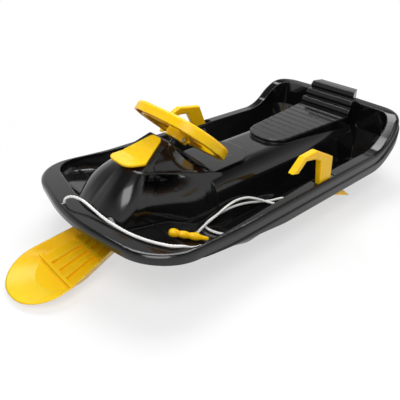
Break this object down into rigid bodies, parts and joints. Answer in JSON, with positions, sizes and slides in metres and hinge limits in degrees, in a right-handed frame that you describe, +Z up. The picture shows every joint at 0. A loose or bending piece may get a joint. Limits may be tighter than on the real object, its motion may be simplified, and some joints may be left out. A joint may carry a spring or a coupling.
{
  "type": "steering sled",
  "caption": "Moulded plastic sled with a stepped seat, a wheel-steered front ski on a hinge, hand brake levers with ground claws and a tow rope with a grip.",
  "frame": {"origin": "on the ground under the middle of the sled with its ski", "axes": "+X forward along the sled, +Y to the driver's left, +Z up"},
  "size_m": [1.0805, 0.5157, 0.3122],
  "materials": {
    "black_plastic": "glossy moulded polyethylene",
    "yellow_plastic": "satin gloss moulded polyethylene",
    "bush_plastic": "plain nylon",
    "steel": "zinc plated",
    "rope": "braided cord"
  },
  "bodies": {
    "sled": {"hull": "black_plastic", "console_cover": "black_plastic", "console_visor": "yellow_plastic", "console_screws": "steel", "upper_bush": "bush_plastic", "lower_bush": "bush_plastic", "brake_pin_left": "steel", "brake_pin_right": "steel", "tow_rope": "rope", "rope_knot": "rope", "pull_handle": "yellow_plastic"},
    "steering": {"steering_wheel": "yellow_plastic", "hub_cap": "yellow_plastic", "steering_shaft": "steel", "shaft_clip": "steel", "thrust_washer": "steel", "wheel_bolt": "steel", "wheel_nut": "steel"},
    "front_ski": {"ski": "yellow_plastic", "ski_bolt": "steel", "ski_nut": "steel"},
    "left_brake": {"brake_lever_left": "yellow_plastic"},
    "right_brake": {"brake_lever_right": "yellow_plastic"}
  },
  "joints": [
    {"name": "steering_turn", "type": "hinge", "parent": "sled", "child": "steering", "pos_m": [0.091, 0, 0.244], "axis": [-0.682, 0, 0.7314], "range_deg": [-20, 20]},
    {"name": "ski_pitch", "type": "hinge", "parent": "steering", "child": "front_ski", "pos_m": [0.23831, 0, 0.08603], "axis": [0, 1, 0], "range_deg": [-16, 0]},
    {"name": "left_brake_pull", "type": "hinge", "parent": "sled", "child": "left_brake", "pos_m": [-0.162, 0.227, 0.098], "axis": [0, 1, 0], "range_deg": [-25, 18]},
    {"name": "right_brake_pull", "type": "hinge", "parent": "sled", "child": "right_brake", "pos_m": [-0.162, -0.227, 0.098], "axis": [0, 1, 0], "range_deg": [-43, 0]}
  ]
}
